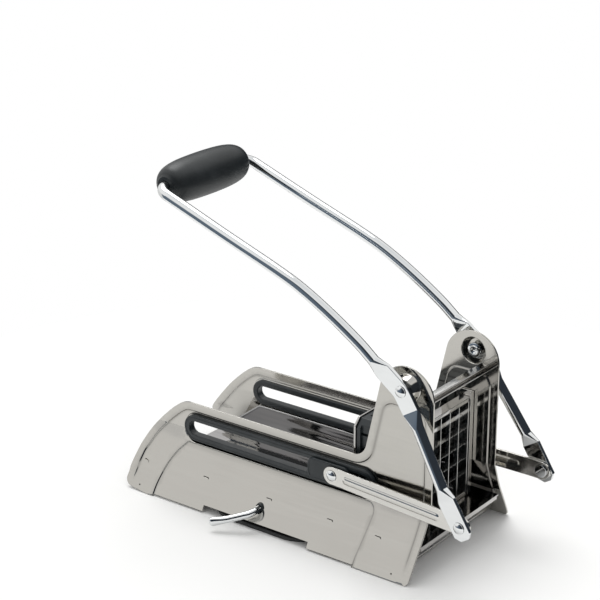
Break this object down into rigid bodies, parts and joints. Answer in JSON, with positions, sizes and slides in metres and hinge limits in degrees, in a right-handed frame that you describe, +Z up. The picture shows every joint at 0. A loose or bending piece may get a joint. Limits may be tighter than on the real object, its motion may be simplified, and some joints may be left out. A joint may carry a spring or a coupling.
{
  "type": "french fry cutter",
  "caption": "Lever-operated potato cutter: a sliding pusher in a stamped steel body drives food through a grid of blades, with a suction clamp under the body.",
  "frame": {"origin": "centre of the suction pad's underside, on the table", "axes": "+X along the body towards the blades, +Y across it away from the suction lever's paddle, +Z up"},
  "size_m": [0.2908, 0.1496, 0.2462],
  "materials": {
    "satin_steel": "satin stamped sheet",
    "polished_steel": "polished sheet",
    "chrome": "bright plating",
    "black_plastic": "moulded, slightly satin",
    "rubber": "matte"
  },
  "bodies": {
    "body": {"side_wall_near": "satin_steel", "side_wall_far": "satin_steel", "slot_guide_near": "black_plastic", "slot_guide_far": "black_plastic", "floor_tray": "polished_steel", "trough_liner": "polished_steel", "tie_bar": "polished_steel", "cross_rod_front": "satin_steel", "cross_rod_rear": "satin_steel", "cartridge_guide_near": "polished_steel", "cartridge_guide_far": "polished_steel", "suction_housing": "black_plastic", "suction_bushing": "black_plastic", "suction_pad": "rubber", "suction_stem": "satin_steel"},
    "cartridge": {"blade_frame": "polished_steel", "blade_vertical_1": "polished_steel", "blade_vertical_2": "polished_steel", "blade_vertical_3": "polished_steel", "blade_vertical_4": "polished_steel", "blade_vertical_5": "polished_steel", "blade_horizontal_1": "polished_steel", "blade_horizontal_2": "polished_steel", "blade_horizontal_3": "polished_steel", "blade_horizontal_4": "polished_steel", "blade_horizontal_5": "polished_steel"},
    "pusher": {"pusher_plate": "polished_steel", "pusher_block": "black_plastic", "slider_shoe_near": "black_plastic", "slider_shoe_far": "black_plastic", "slider_rivet_near": "chrome", "slider_rivet_far": "chrome"},
    "links": {"link_near": "chrome", "link_far": "chrome", "link_end_rivet_near": "chrome", "link_end_rivet_far": "chrome"},
    "lever": {"lever_bail": "chrome", "grip": "black_plastic", "pivot_rivet_near": "chrome", "pivot_rivet_far": "chrome", "lower_rivet_near": "chrome", "lower_rivet_far": "chrome"},
    "clamp_lever": {"suction_lever": "chrome", "suction_cam": "satin_steel"}
  },
  "joints": [
    {"name": "lever_hinge", "type": "hinge", "parent": "body", "child": "lever", "pos_m": [0.112, 0, 0.1306], "axis": [0, 1, 0], "range_deg": [-6, 67]},
    {"name": "pusher_slide", "type": "slide", "parent": "body", "child": "pusher", "axis": [1, 0, 0], "range_m": [-0.1055, 0.0096]},
    {"name": "link_hinge", "type": "hinge", "parent": "pusher", "child": "links", "pos_m": [0.055, 0, 0.0525], "axis": [0, 1, 0], "range_deg": [-4, 8]},
    {"name": "cartridge_slide", "type": "slide", "parent": "body", "child": "cartridge", "axis": [0, 0, 1], "range_m": [0, 0.075]},
    {"name": "clamp_hinge", "type": "hinge", "parent": "body", "child": "clamp_lever", "pos_m": [0, 0, 0.015], "axis": [0, 1, 0], "range_deg": [0, 150]}
  ],
  "couplings": [
    {"joint": "pusher_slide", "follows": "lever_hinge", "m_per_rad": -0.09},
    {"joint": "link_hinge", "follows": "lever_hinge", "ratio": -0.021}
  ]
}
